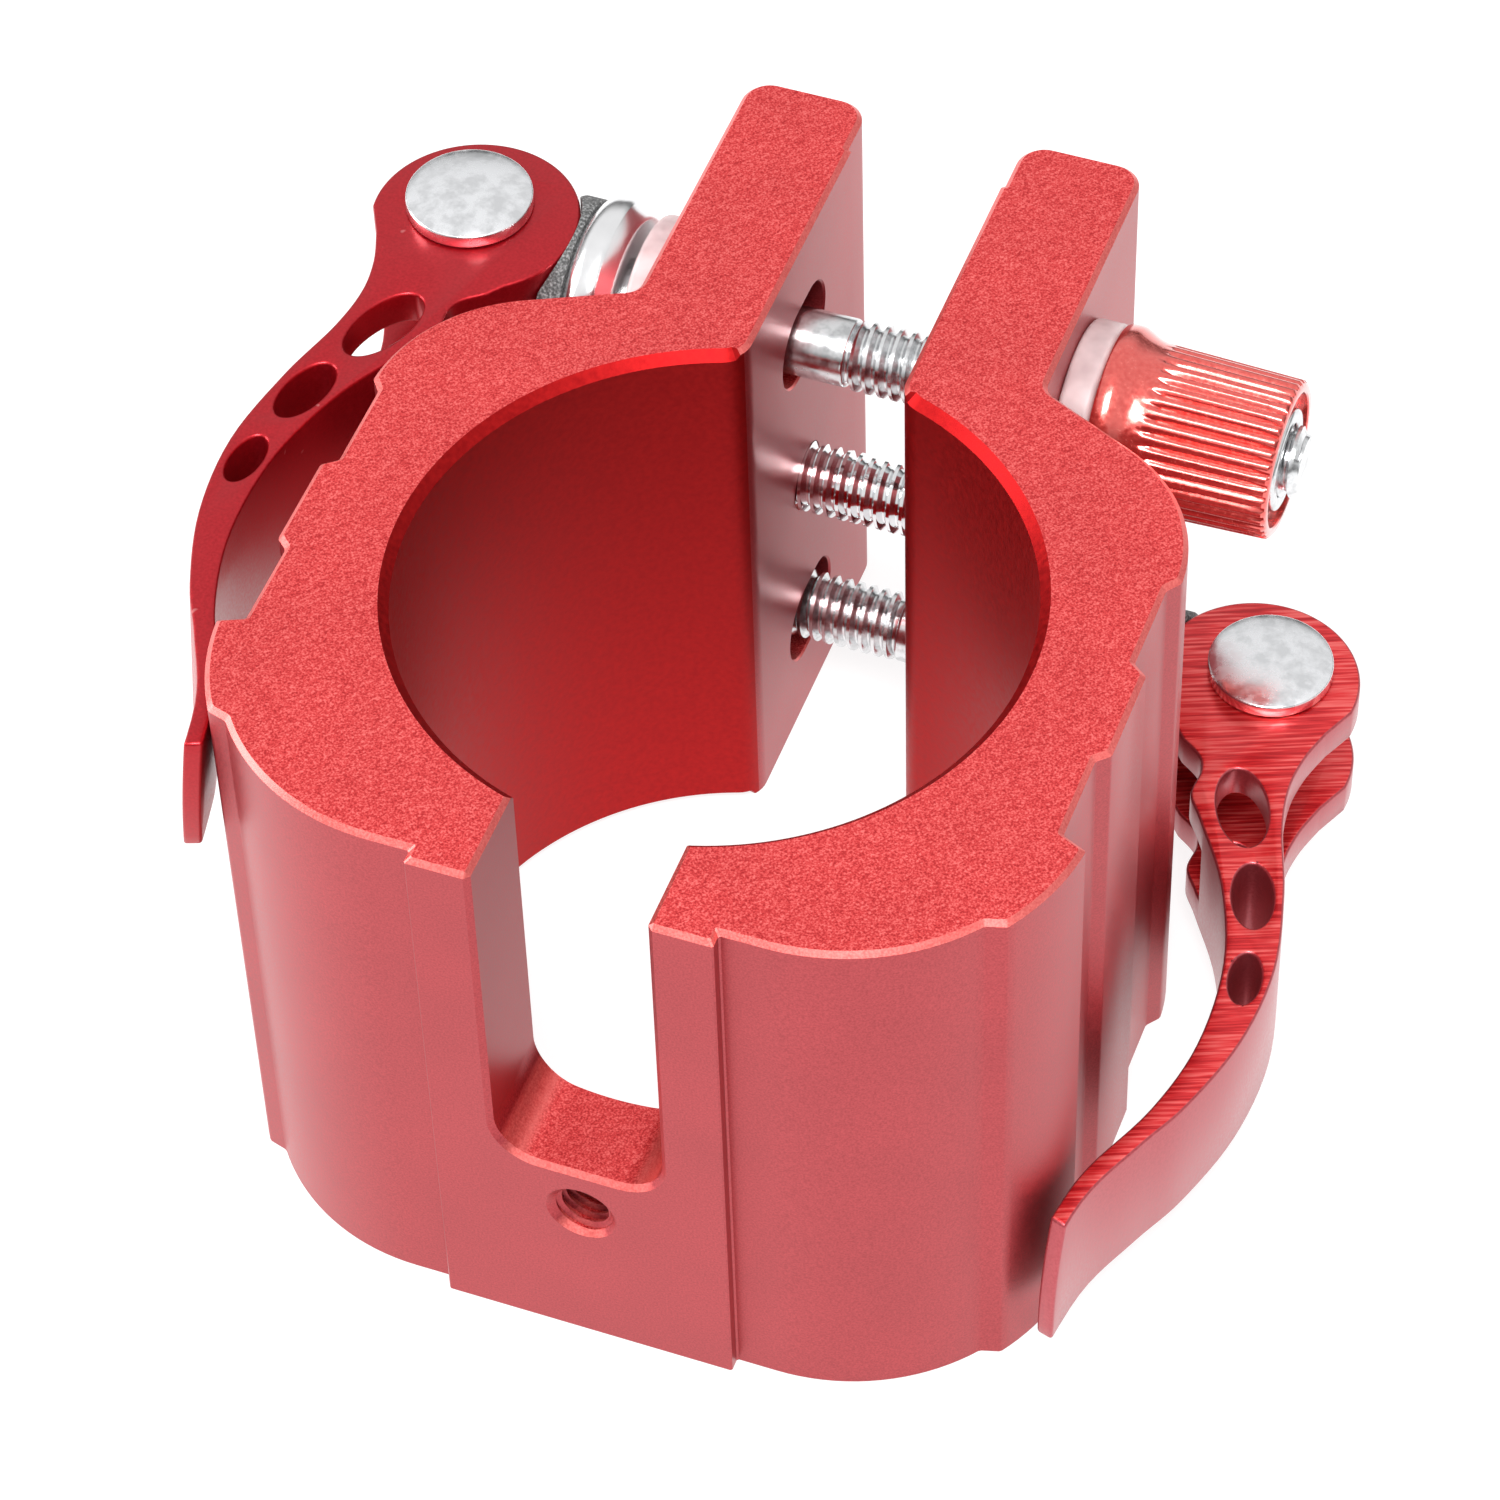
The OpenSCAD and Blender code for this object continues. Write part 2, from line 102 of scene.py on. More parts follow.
# ---- Mesh helpers ------------------------------------------------------------------------------

def new_piece(name, builder, place=Matrix(), smooth_angle=30):
    """An object in metres from a bmesh in millimetres, smooth up to an angle between faces."""
    mesh = bpy.data.meshes.new(name)
    bmesh.ops.recalc_face_normals(builder, faces=builder.faces)
    bmesh.ops.transform(builder, matrix=Matrix.Scale(MM, 4) @ place, verts=builder.verts)
    builder.to_mesh(mesh)
    builder.free()
    piece = bpy.data.objects.new(name, mesh)
    bpy.context.scene.collection.objects.link(piece)
    smooth(piece, smooth_angle)
    return piece


def smooth(piece, angle=30):
    piece.data.shade_smooth()
    piece.data.set_sharp_from_angle(angle=math.radians(angle))


def apply_modifiers(piece):
    """Replaces the piece's mesh by what its modifiers make of it."""
    depsgraph = bpy.context.evaluated_depsgraph_get()
    made = bpy.data.meshes.new_from_object(piece.evaluated_get(depsgraph))
    piece.modifiers.clear()
    piece.data = made


def join_builders(builders):
    """One bmesh that holds several."""
    first = builders[0]
    for other in builders[1:]:
        mesh = bpy.data.meshes.new("part")
        other.to_mesh(mesh)
        other.free()
        first.from_mesh(mesh)
        bpy.data.meshes.remove(mesh)
    return first


def bevelled_copy(node, name, width, segments=2, least_angle=25, edit=None):
    """A CAD node's copy with its flat faces made whole and its sharp edges rounded."""
    builder = bmesh.new()
    builder.from_mesh(nodes[node].data)
    bmesh.ops.transform(builder, matrix=Matrix.Scale(1 / MM, 4), verts=builder.verts)
    bmesh.ops.remove_doubles(builder, verts=builder.verts, dist=0.0005)
    bmesh.ops.dissolve_limit(builder, angle_limit=math.radians(0.4), verts=builder.verts,
                             edges=builder.edges, delimit=set())
    layer = builder.edges.layers.float.new("bevel_weight_edge")
    for edge in builder.edges:
        if len(edge.link_faces) == 2 and edge.calc_face_angle(0) > math.radians(least_angle):
            edge[layer] = 1
    piece = new_piece(name, builder)
    bevel = piece.modifiers.new("edges", "BEVEL")
    bevel.limit_method = "WEIGHT"
    bevel.width = width * MM
    bevel.segments = segments
    bevel.use_clamp_overlap = False
    bevel.miter_outer = "MITER_SHARP"
    apply_modifiers(piece)
    if edit:
        edit(piece.data)
    smooth(piece)
    return piece


def rounded(corners, closed=True, steps=4):
    """Points of an outline of (x, y, cut_back) corners, each rounded over that much of a side."""
    made = []
    count = len(corners)
    for k, (x, y, cut_back) in enumerate(corners):
        here = Vector((x, y))
        if cut_back == 0 or (not closed and k in (0, count - 1)):
            made.append(here)
            continue
        before = Vector(corners[k - 1][:2])
        after = Vector(corners[(k + 1) % count][:2])
        start = here + (before - here).normalized() * cut_back
        end = here + (after - here).normalized() * cut_back
        for i in range(steps + 1):
            t = i / steps
            made.append(start * (1 - t) ** 2 + here * 2 * t * (1 - t) + end * t * t)
    return made


def revolve(profile, steps=96, radius=None, closed=True):
    """A bmesh of (x, r) points turned about X; radius(k, angle) may give a point another r."""
    builder = bmesh.new()
    rings = []
    for k, (x, r) in enumerate(profile):
        if r < 1e-6:
            rings.append([builder.verts.new((x, 0, 0))])
            continue
        ring = []
        for i in range(steps):
            angle = 2 * math.pi * i / steps
            size = radius(k, angle) if radius else r
            ring.append(builder.verts.new((x, size * math.cos(angle), size * math.sin(angle))))
        rings.append(ring)
    pairs = list(zip(rings, rings[1:]))
    if closed:
        pairs.append((rings[-1], rings[0]))
    for first, second in pairs:
        for i in range(steps):
            j = (i + 1) % steps
            ends = [first[i % len(first)], first[j % len(first)],
                    second[j % len(second)], second[i % len(second)]]
            builder.faces.new(list(dict.fromkeys(ends)))
    return builder


# Points of one thread turn: how far along the pitch, and how deep below the crest
THREAD_TURN = ((0, 0), (0.26, 0), (0.56, 1), (0.70, 1))


def threaded_rod(start, end, crest_r, pitch, depth, steps=40, chamfers=(0, 0)):
    """A rod along X with a right-hand thread, cut square and chamfered at its ends."""
    builder = bmesh.new()
    rows = []
    turns = math.ceil((end - start) / pitch) + 4
    for turn in range(turns):
        for along, deep in THREAD_TURN:
            row = []
            for i in range(steps):
                part = i / steps
                x = start + pitch * (turn - 2 + along + part)
                r = crest_r - depth * deep
                angle = 2 * math.pi * part
                row.append(builder.verts.new((x, r * math.cos(angle), r * math.sin(angle))))
            rows.append(row)
    per_turn = len(THREAD_TURN)
    for k in range(len(rows) - 1):
        for i in range(steps - 1):
            builder.faces.new((rows[k][i], rows[k][i + 1], rows[k + 1][i + 1], rows[k + 1][i]))
        if k + 1 + per_turn < len(rows):
            builder.faces.new((rows[k + per_turn][0], rows[k + 1 + per_turn][0],
                               rows[k + 1][-1], rows[k][-1]))
    for x, side in ((start, -1), (end, 1)):
        parts = list(builder.verts) + list(builder.edges) + list(builder.faces)
        bmesh.ops.bisect_plane(builder, geom=parts, plane_co=(x, 0, 0), plane_no=(side, 0, 0),
                               clear_outer=True)
        rim = [edge for edge in builder.edges if edge.is_boundary
               and all(abs(v.co.x - x) < 1e-4 for v in edge.verts)]
        bmesh.ops.contextual_create(builder, geom=rim)
    for v in builder.verts:
        limit = crest_r + min(v.co.x - start - chamfers[0], end - chamfers[1] - v.co.x, 0)
        r = math.hypot(v.co.y, v.co.z)
        if r > limit:
            v.co.y *= limit / r
            v.co.z *= limit / r
    return builder


# ---- Materials -----------------------------------------------------------------------------------

class Shader:
    """Short calls for building a node material round one Principled shader."""

    def __init__(self, name, **sockets):
        self.material = bpy.data.materials.new(name)
        self.material.use_nodes = True
        self.tree = self.material.node_tree
        self.bsdf = self.tree.nodes["Principled BSDF"]
        for socket, value in sockets.items():
            self.bsdf.inputs[socket.replace("_", " ")].default_value = value

    def add(self, kind, inputs=None, **settings):
        made = self.tree.nodes.new("ShaderNode" + kind)
        for key, value in settings.items():
            setattr(made, key, value)
        for socket, value in (inputs or {}).items():
            made.inputs[socket].default_value = value
        return made

    def link(self, source, target):
        self.tree.links.new(source, target)

    def noise(self, size, detail=2, roughness=0.5, stretch=(1, 1, 1), turn=0):
        """Noise whose features are about size millimetres, stretched after a turn about Z."""
        place = self.add("TexCoord").outputs["Object"]
        scaled = self.add("Mapping", {"Rotation": (0, 0, turn)})
        self.link(place, scaled.inputs["Vector"])
        longer = self.add("Mapping", {"Scale": stretch})
        self.link(scaled.outputs["Vector"], longer.inputs["Vector"])
        made = self.add("TexNoise", {"Scale": 1 / (size * MM), "Detail": detail,
                                     "Roughness": roughness})
        self.link(longer.outputs["Vector"], made.inputs["Vector"])
        return made.outputs["Fac"]

    def ramp(self, source, *stops):
        """Colours or greys spread over the source's 0 to 1; each stop is (place, value)."""
        made = self.add("ValToRGB")
        elements = made.color_ramp.elements
        while len(elements) < len(stops):
            elements.new(0.5)
        for element, (place, value) in zip(elements, stops):
            element.position = place
            element.color = (*value, 1) if isinstance(value, tuple) else (value, value, value, 1)
        self.link(source, made.inputs["Fac"])
        return made.outputs["Color"]

    def mix(self, factor, first, second, kind="MIX"):
        made = self.add("Mix", data_type="RGBA", blend_type=kind)
        for index, value in ((0, factor), (6, first), (7, second)):
            if isinstance(value, (int, float)):
                made.inputs[index].default_value = value
            elif isinstance(value, tuple):
                made.inputs[index].default_value = (*value, 1)
            else:
                self.link(value, made.inputs[index])
        return made.outputs[2]

    def bump(self, height, strength, distance):
        """Bumps of a height map; distance is its full depth in millimetres."""
        made = self.add("Bump", {"Strength": strength, "Distance": distance * MM})
        self.link(height, made.inputs["Height"])
        self.link(made.outputs["Normal"], self.bsdf.inputs["Normal"])

    def colour(self, source):
        self.link(source, self.bsdf.inputs["Base Color"])

    def roughness(self, source):
        self.link(source, self.bsdf.inputs["Roughness"])

    def facing(self, axis):
        """How far the surface faces along a world axis, from -1 to 1."""
        normal = self.add("SeparateXYZ")
        self.link(self.add("NewGeometry").outputs["Normal"], normal.inputs[0])
        return normal.outputs[axis]


BLAST_STREAK_TURN = math.radians(-54)
MILL_MARK_TURN = math.radians(-22)


def red_collar_material():
    """Blasted and anodised aluminium: a fine speckle, strongest on the end faces. Faces that point
    up are painted a lighter red as painted light, the walls a darker red as painted shade, and the
    chamfers round the top a bright red as a painted highlight.
    """
    shader = Shader("collar_anodised_red", Metallic=0.86, Coat_Weight=0.35, Coat_Roughness=0.32)
    grain = shader.noise(0.17, detail=1, roughness=0.6)
    streaks = shader.noise(0.3, detail=1, stretch=(0.25, 1, 1), turn=BLAST_STREAK_TURN)
    cloud = shader.noise(9, detail=2)
    facing_up = shader.facing("Z")
    # Faces that point up get the lighter, speckled red below: painted light. The walls get a darker
    # red: painted shade.
    top = shader.ramp(facing_up, (0.9, 0.0), (0.97, 1.0))
    # The chamfers round the top face get a brighter red: a painted highlight.
    chamfer = shader.ramp(facing_up, (0.45, 0.0), (0.6, 1.0))
    speckle = shader.mix(0.25, grain, streaks)
    lit_top_red = shader.ramp(speckle, (0.34, (0.52, 0.018, 0.022)), (0.5, (0.80, 0.06, 0.062)),
                          (0.68, (0.98, 0.19, 0.18)))
    # The walls' darker red is painted shade.
    shaded_side_red = shader.ramp(grain, (0.3, (0.36, 0.030, 0.038)), (0.7, (0.52, 0.062, 0.072)))
    # The chamfers' bright red is a painted highlight.
    chamfer_highlight_red = shader.ramp(grain, (0.3, (0.86, 0.13, 0.12)), (0.7, (0.98, 0.22, 0.20)))
    red = shader.mix(top, shader.mix(chamfer, shaded_side_red, chamfer_highlight_red), lit_top_red)
    shade = shader.ramp(cloud, (0.3, 0.92), (0.7, 1.0))
    shader.colour(shader.mix(1.0, red, shade, "MULTIPLY"))
    shader.roughness(shader.ramp(grain, (0.3, 0.36), (0.7, 0.5)))
    shader.bump(grain, 0.25, 0.03)
    return shader.material


def collar_bore_material():
    """The bore is painted a deeper red than the walls, painted shade inside the ring, and stays
    fairly smooth.
    """
    shader = Shader("collar_bore_shaded_red", Metallic=0.97)
    grain = shader.noise(0.5, detail=3)
    # The darker red inside the bore is painted shade.
    shader.colour(shader.ramp(grain, (0.3, (0.36, 0.008, 0.010)), (0.7, (0.47, 0.013, 0.014))))
    shader.roughness(shader.ramp(grain, (0.3, 0.42), (0.7, 0.52)))
    shader.bump(grain, 0.2, 0.03)
    return shader.material


def smooth_lever_material():
    shader = Shader("lever_anodised_red", Metallic=0.8, Coat_Weight=0.4, Coat_Roughness=0.2)
    fine = shader.noise(0.25, detail=3)
    spots = shader.noise(1.6, detail=1)
    red = shader.ramp(fine, (0.3, (0.38, 0.004, 0.011)), (0.7, (0.48, 0.009, 0.018)))
    dust = shader.ramp(spots, (0.78, 0.0), (0.82, 0.5))
    shader.colour(shader.mix(dust, red, (0.8, 0.3, 0.3)))
    shader.roughness(shader.ramp(fine, (0.3, 0.34), (0.7, 0.46)))
    shader.bump(fine, 0.15, 0.02)
    return shader.material


def milled_lever_material():
    """Bright red with the marks of a cutter across the handle's edge. The brightness is painted
    light: faces that point up get a lighter red whose bright streaks are partly real cutter marks
    and partly painted highlight, and the other faces a darker red, painted shade.
    """
    shader = Shader("lever_milled_red", Metallic=0.8, Coat_Weight=0.5, Coat_Roughness=0.25)
    fine = shader.noise(0.25, detail=3)
    marks = shader.noise(0.3, detail=2, roughness=0.5, stretch=(0.05, 1, 0.3),
                         turn=MILL_MARK_TURN)
    # Faces that point up get the lighter, marked red: painted light. The other faces get a darker
    # red: painted shade.
    lit_top_mask = shader.ramp(shader.facing("Z"), (0.85, 0.0), (0.95, 1.0))
    shaded_side_red = shader.ramp(fine, (0.3, (0.42, 0.06, 0.075)), (0.7, (0.52, 0.09, 0.105)))
    lit_top_red = shader.ramp(marks, (0.35, (0.50, 0.006, 0.012)), (0.5, (0.80, 0.03, 0.035)),
                          (0.66, (0.95, 0.16, 0.15)))
    shader.colour(shader.mix(lit_top_mask, shaded_side_red, lit_top_red))
    shader.roughness(shader.ramp(fine, (0.3, 0.32), (0.7, 0.44)))
    shader.bump(marks, 0.12, 0.08)
    return shader.material


def nut_material():
    shader = Shader("nut_anodised_red", Metallic=0.9, Coat_Weight=1.0, Coat_Roughness=0.1)
    fine = shader.noise(0.4, detail=2)
    shader.colour(shader.ramp(fine, (0.3, (0.80, 0.10, 0.085)), (0.7, (0.90, 0.16, 0.135))))
    shader.roughness(shader.ramp(fine, (0.3, 0.16), (0.7, 0.28)))
    shader.bump(fine, 0.12, 0.03)
    return shader.material


def steel_material(name, colour, low, high, size, bump, mottle=0.8):
    """Metal whose roughness and tone wander between a low and a high value."""
    shader = Shader(name, Metallic=1.0)
    patches = shader.noise(size, detail=4, roughness=0.6)
    dark = tuple(mottle * c for c in colour)
    shader.colour(shader.ramp(patches, (0.36, dark), (0.56, colour)))
    shader.roughness(shader.ramp(patches, (0.3, low), (0.7, high)))
    shader.bump(patches, bump, 0.04)
    return shader.material


def pad_material():
    shader = Shader("pad_filled_plastic", Specular_IOR_Level=0.3)
    grain = shader.noise(0.22, detail=2)
    shader.colour(shader.ramp(grain, (0.38, 0.055), (0.55, 0.14), (0.7, 0.32)))
    shader.roughness(shader.ramp(grain, (0.3, 0.55), (0.7, 0.75)))
    shader.bump(grain, 0.3, 0.04)
    return shader.material


def nylon_material():
    shader = Shader("washer_nylon", Subsurface_Weight=0.5, Subsurface_Radius=(1.0, 0.7, 0.7),
                    Subsurface_Scale=0.0015, Coat_Weight=0.2, Coat_Roughness=0.2)
    cloud = shader.noise(2.2, detail=2)
    shader.colour(shader.ramp(cloud, (0.3, (0.48, 0.35, 0.355)), (0.7, (0.66, 0.51, 0.51))))
    shader.roughness(shader.ramp(cloud, (0.3, 0.35), (0.7, 0.5)))
    return shader.material


MATERIALS = {
    "collar": red_collar_material(),
    "bore": collar_bore_material(),
    "upper_lever": smooth_lever_material(),
    "lower_lever": milled_lever_material(),
    "nut": nut_material(),
    "chrome": steel_material("bolt_bright_plate", (0.86, 0.87, 0.88), 0.06, 0.14, 3, 0.05, 0.9),
    "thread": steel_material("rod_zinc_plate", (0.80, 0.81, 0.82), 0.14, 0.28, 1.2, 0.08, 0.7),
    "washer": steel_material("washer_satin_steel", (0.76, 0.77, 0.78), 0.25, 0.4, 1, 0.1),
    "pivot": steel_material("pivot_mottled_nickel", (0.94, 0.95, 0.97), 0.14, 0.34, 1.6, 0.2, 0.8),
    "cup": steel_material("cup_polished_steel", (0.95, 0.95, 0.96), 0.16, 0.26, 3, 0.02, 0.95),
    "insert": steel_material("insert_turned_steel", (0.74, 0.75, 0.76), 0.15, 0.3, 0.6, 0.1),
    "pad": pad_material(),
    "nylon": nylon_material(),
}


def finish_piece(piece, material, slot, body, *replaced):
    """Gives a piece its finish and its body, and hides the CAD nodes that it stands for."""
    piece.data.materials.clear()
    piece.data.materials.append(MATERIALS[material])
    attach(piece, body)
    if replaced:
        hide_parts(*replaced)


# ---- Collar --------------------------------------------------------------------------------------

BORE_R, BORE_CHAMFER = 25, 0.8
SIDE_X, FRONT_Y, RELIEF = 33.9, 32.8, 1.2
GAP_X, EAR_X = 6.5, 17.2
EAR_REACH, EAR_TIP_R, EAR_ROOT_R = 55, 2.4, 1.5
TIP_RELIEF_Y, TIP_RELIEF = 49.6, 0.3
INNER_ROOT_R = 2.5
SHOULDER_C, SHOULDER_R, TAPER = Vector((19.6, 12)), 14, 25
CORNER_C, CORNER_PROUD, CORNER_STEP = Vector((15.6, -13.2)), 1.15, (-33.5, -37.5)
PANEL_X = 12.2
SIDE_STEPS, STEP_RUN = (11.8, 3, -6.3, -14.8), 0.9
NOTCH_HALF, NOTCH_FLOOR, NOTCH_R = 7, 21, 3.75
TAP_R, TAP_HEIGHT = 2.5, 15.9
SCREW_Y, SKEWER_Z = 37.7, 16.75
SLOT_LEN, SLOT_H = 10, 7.3
BOLT_HOLE_R, BOLT_THREAD_R, BOLT_SEAT_R, BOLT_SEAT_DEPTH = 3.4, 3.05, 6.3, 6.9
TOP_EDGE, FOOT_EDGE, SIDE_EDGE = 0.42, 0.2, 0.14


def arc(centre, radius, start, end, step=3):
    """Points on an arc, with angles in degrees."""
    count = max(2, math.ceil(abs(end - start) / step))
    made = []
    for i in range(count + 1):
        angle = math.radians(start + (end - start) * i / count)
        made.append(Vector(centre) + radius * Vector((math.cos(angle), math.sin(angle))))
    return made


def right_wall():
    """The outer wall's right-hand half, from the ear's tip round to the front panel."""
    tip_y = EAR_REACH - EAR_TIP_R
    normal = Vector((math.sin(math.radians(TAPER)), math.cos(math.radians(TAPER))))
    join = SHOULDER_C + SHOULDER_R * normal
    root_x = EAR_X + EAR_ROOT_R
    rise = ((root_x - join.x) * normal.x - EAR_ROOT_R) / normal.y
    out, recess, half = SIDE_X, SIDE_X - RELIEF, STEP_RUN / 2
    deep = recess + 0.2
    low_r = FRONT_Y - RELIEF + CORNER_C.y
    steps = SIDE_STEPS
    return (
        arc((GAP_X + TIP_RELIEF + EAR_TIP_R, tip_y), EAR_TIP_R, 180, 90, 10)
        + arc((EAR_X - EAR_TIP_R, tip_y), EAR_TIP_R, 90, 0, 10)
        + arc((root_x, join.y - rise), EAR_ROOT_R, 180, 270 - TAPER, 9)
        + arc(SHOULDER_C, SHOULDER_R, 90 - TAPER, 2)
        + [Vector(p) for p in (
            (recess, steps[0] - half), (recess, steps[1] + half), (out, steps[1] - half),
            (out, steps[2] + half), (deep, steps[2] - half), (deep, steps[3] + half))]
        + arc(CORNER_C, SIDE_X + CORNER_PROUD - CORNER_C.x, -6, CORNER_STEP[0])
        + arc(CORNER_C, low_r, CORNER_STEP[1], -90)
        + [Vector((PANEL_X, CORNER_C.y - low_r)), Vector((PANEL_X, -FRONT_Y))])


def inner_wall():
    """The left ear's inner face, the bore, and the right ear's inner face."""
    q = INNER_ROOT_R
    root = Vector((GAP_X + q, math.sqrt((BORE_R + q) ** 2 - (GAP_X + q) ** 2)))
    bore_from = math.degrees(math.atan2(root.y, root.x))
    right = ([Vector((GAP_X + TIP_RELIEF, TIP_RELIEF_Y)), Vector((GAP_X, TIP_RELIEF_Y))]
             + arc(root, q, 180, 180 + bore_from, 9))
    left = [Vector((-p.x, p.y)) for p in right]
    bore = arc((0, 0), BORE_R, 180 - bore_from, 360 + bore_from, 2)[1:-1]
    return left + bore + right[::-1]


def collar_outline():
    """Points of the collar's outline, each with the way a unit chamfer moves it inwards.

    A sharp corner becomes two points, so that the upright edges have a narrow chamfer too."""
    right = right_wall()
    points = right + [Vector((-p.x, p.y)) for p in right[::-1]] + inner_wall()
    made = []
    for k, here in enumerate(points):
        before = (here - points[k - 1]).normalized()
        after = (points[(k + 1) % len(points)] - here).normalized()
        inward = Vector((before.y, -before.x)) + Vector((after.y, -after.x))
        inward /= 1 + before.dot(after)
        turn = abs(before.angle(after))
        if turn > math.radians(25):
            made.append((here - before * SIDE_EDGE, inward))
            made.append((here + after * SIDE_EDGE, inward))
        else:
            made.append((here, inward))
    return made


def collar_body():
    """The collar before its holes: a C-shaped block with chamfered ends."""
    half = corners_of("clamp_collar")[1].z
    outline = collar_outline()
    builder = bmesh.new()
    rings = []
    for z, level in ((-half, "end"), (-half, "wall"), (half, "wall"), (half, "end")):
        edge = FOOT_EDGE if z < 0 else TOP_EDGE
        ring = []
        for point, inward in outline:
            in_bore = point.length < BORE_R + 0.3
            size = BORE_CHAMFER if in_bore else edge
            move = size if level == "end" else 0
            lift = 0 if level == "end" else math.copysign(size, z)
            place = point + inward * move
            ring.append(builder.verts.new((place.x, place.y, z - lift)))
        rings.append(ring)
    count = len(outline)
    for first, second in zip(rings, rings[1:]):
        for i in range(count):
            j = (i + 1) % count
            builder.faces.new((first[i], first[j], second[j], second[i]))
    ends = [builder.faces.new(rings[0]), builder.faces.new(rings[-1])]
    bmesh.ops.triangulate(builder, faces=ends, ngon_method="EAR_CLIP")
    return builder


def loft(rings):
    """A closed bmesh through rings of equally many points."""
    builder = bmesh.new()
    made = [[builder.verts.new(p) for p in ring] for ring in rings]
    count = len(made[0])
    for first, second in zip(made, made[1:]):
        for i in range(count):
            j = (i + 1) % count
            builder.faces.new((first[i], first[j], second[j], second[i]))
    builder.faces.new(made[0])
    builder.faces.new(made[-1][::-1])
    bmesh.ops.recalc_face_normals(builder, faces=builder.faces)
    return builder


def notch_cutter():
    """A U that is open at the top, flared at the front panel and at the top face."""
    half = corners_of("clamp_collar")[1].z
    floor = NOTCH_FLOOR - half
    over, flare = 0.6, 0.45

    def ring(y, grow):
        side = NOTCH_HALF + grow
        r = NOTCH_R + grow
        left = arc((-side + r, floor - grow + r), r, 180, 270, 6)
        right = arc((side - r, floor - grow + r), r, 270, 360, 6)
        tall = [Vector((side, half - TOP_EDGE)), Vector((side + TOP_EDGE + over, half + over))]
        shut = [Vector((-p.x, p.y)) for p in tall[::-1]]
        return [(p.x, y, p.y) for p in left + right + tall + shut]

    return loft([ring(-FRONT_Y - over, flare + over), ring(-FRONT_Y + flare, 0), ring(-18, 0)])


def slot_cutter(z):
    """A skewer's slot through both ears, with its four mouths eased."""
    ease, over = 0.16, 0.5

    def ring(x, grow):
        r = SLOT_H / 2 + grow
        run = (SLOT_LEN - SLOT_H) / 2
        points = (arc((SCREW_Y + run, z), r, -90, 90, 6) + arc((SCREW_Y - run, z), r, 90, 270, 6))
        return [(x, p.x, p.y) for p in points]

    half = [(GAP_X - over, ease + over), (GAP_X + ease, 0), (EAR_X - ease, 0),
            (EAR_X + over, ease + over)]
    rings = [ring(-x, grow) for x, grow in half[::-1]] + [ring(x, grow) for x, grow in half]
    return loft(rings)


def bolt_cutter():
    """The threaded hole in the left ear, the free hole in the right one and the head's seat."""
    ease, over = 0.3, 0.5
    flare = ease + over
    seat_x = EAR_X - BOLT_SEAT_DEPTH
    profile = [(-EAR_X - over, 0), (-EAR_X - over, BOLT_THREAD_R + flare),
               (-EAR_X + ease, BOLT_THREAD_R), (0, BOLT_THREAD_R), (0, BOLT_HOLE_R),
               (seat_x, BOLT_HOLE_R), (seat_x, BOLT_SEAT_R), (EAR_X - ease, BOLT_SEAT_R),
               (EAR_X + over, BOLT_SEAT_R + flare), (EAR_X + over, 0)]
    builder = revolve(profile, 64, closed=False)
    bmesh.ops.transform(builder, matrix=Matrix.Translation((0, SCREW_Y, 0)), verts=builder.verts)
    return builder


def tap_cutters():
    """A screw-shaped cutter for the tapped hole, and the cone of its countersink."""
    half = corners_of("clamp_collar")[1].z
    depth, mouth = 0.75, 3.05
    screw = threaded_rod(-1, 12, TAP_R, 0.85, 0.42, 32)
    cone = revolve([(-1, 0), (-1, mouth + 0.9), (-0.1, mouth), (depth, TAP_R - 0.3), (depth, 0)],
                   48, closed=False)
    place = Matrix.Translation((0, -FRONT_Y, TAP_HEIGHT - half)) @ Matrix.Rotation(
        math.radians(90), 4, "Z")
    for builder in (screw, cone):
        bmesh.ops.transform(builder, matrix=place, verts=builder.verts)
    return [screw, cone]


def cut(piece, builder):
    """Takes a closed shape away from a piece."""
    cutter = new_piece("cutter", builder)
    boolean = piece.modifiers.new("cut", "BOOLEAN")
    boolean.object = cutter
    boolean.operation = "DIFFERENCE"
    boolean.solver = "EXACT"
    apply_modifiers(piece)
    bpy.data.objects.remove(cutter)


def build_collar():
    piece = new_piece("clamp_collar_look", collar_body())
    cutters = [notch_cutter(), bolt_cutter(), *tap_cutters()]
    cutters += [slot_cutter(z) for z in (SKEWER_Z, -SKEWER_Z)]
    for builder in cutters:
        cut(piece, builder)
    smooth(piece, 28)
    finish_piece(piece, "collar", "red_collar", "root", "clamp_collar")
    piece.data.materials.append(MATERIALS["bore"])
    for face in piece.data.polygons:
        across = Vector((face.center.x, face.center.y)) / MM
        sloping = abs(face.normal.z) < 0.9
        face.material_index = int(sloping and across.length < BORE_R + BORE_CHAMFER - 0.1)


# ---- Levers --------------------------------------------------------------------------------------

# Each handle's end leans: sideways at mid height in mm, and more for each mm of height
LEAN_FROM, LEAN_OVER = 28, 30
LEAN = {"upper": (-0.26, 0.115), "lower": (-0.55, 0)}


def build_levers():
    """Levers with softened edges, whose handles bend and twist a little towards their ends."""
    for side in SIDES:
        pivot = sum(corners_of(side + "_pivot_cap"), Vector()) / 2
        middle = SKEWER_Z if side == "upper" else -SKEWER_Z
        bend, twist = LEAN[side]

        def lean(mesh):
            for v in mesh.vertices:
                along = (pivot.y - v.co.y / MM - LEAN_FROM) / LEAN_OVER
                part = min(max(along, 0), 1)
                ease = part * part * (3 - 2 * part)
                v.co.x += ease * (bend * MM + twist * (v.co.z - middle * MM))

        node = side + "_lever"
        piece = bevelled_copy(node, node + "_look", 0.28, segments=3, edit=lean)
        finish_piece(piece, node, "red_lever", side + "_lever_arm", node)


# ---- Skewer sets ---------------------------------------------------------------------------------

